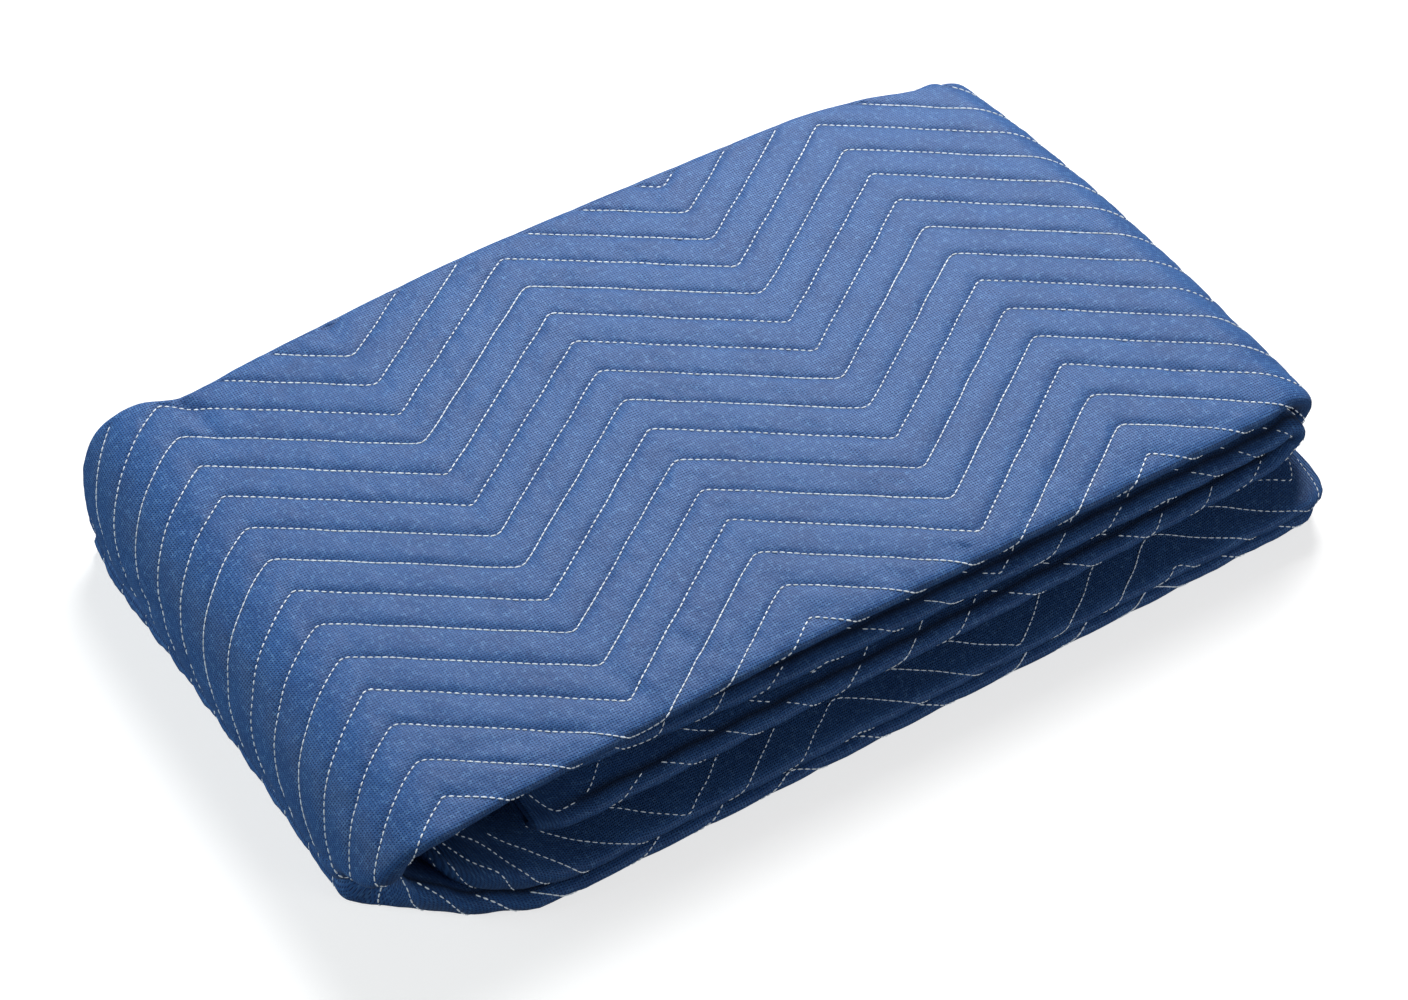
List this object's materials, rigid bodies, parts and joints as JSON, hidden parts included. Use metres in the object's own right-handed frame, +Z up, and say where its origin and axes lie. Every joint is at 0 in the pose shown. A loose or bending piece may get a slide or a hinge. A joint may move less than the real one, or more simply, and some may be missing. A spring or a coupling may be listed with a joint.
{
  "type": "moving blanket",
  "caption": "Quilted moving blanket of blue cloth, folded into a flat block with zigzag stitch lines and loose folds along its front.",
  "frame": {"origin": "centre of the folded block's footprint, on the floor", "axes": "+X along the folded block and its stitch lines, -Y towards the side with the front folds, +Z up"},
  "size_m": [0.724, 0.4439, 0.101],
  "materials": {
    "quilted_fabric": "matte woven cloth, quilted with pale thread"
  },
  "bodies": {
    "root": {"blanket": "quilted_fabric"}
  },
  "joints": []
}
